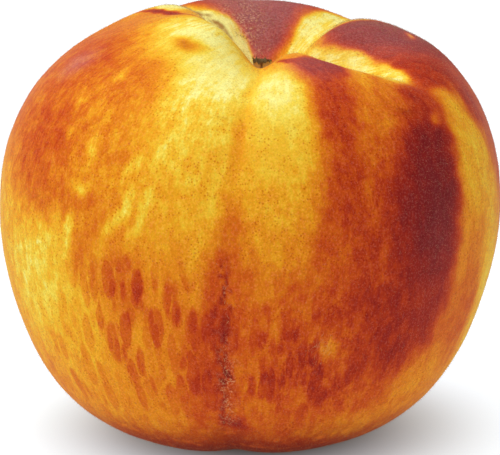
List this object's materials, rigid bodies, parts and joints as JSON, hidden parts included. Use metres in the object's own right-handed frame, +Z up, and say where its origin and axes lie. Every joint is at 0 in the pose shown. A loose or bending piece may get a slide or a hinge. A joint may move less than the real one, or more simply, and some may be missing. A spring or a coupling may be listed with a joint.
{
  "type": "yellow peach",
  "caption": "Ripe yellow peach with a suture, a lobed stem cavity and a dry stem stub, resting on a small flat spot under its base.",
  "frame": {"origin": "on the surface that the fruit rests on, in the middle of its footprint", "axes": "+Z up, -Y towards the front, where the suture runs from the stem cavity to the tip, +X to the right of the suture seen from the front"},
  "size_m": [0.078, 0.0744, 0.0667],
  "materials": {
    "skin": "downy, yellow with a red blush",
    "dry_stem": "dry and rough"
  },
  "bodies": {
    "root": {"fruit": "skin", "stem_stub": "dry_stem"}
  },
  "joints": []
}
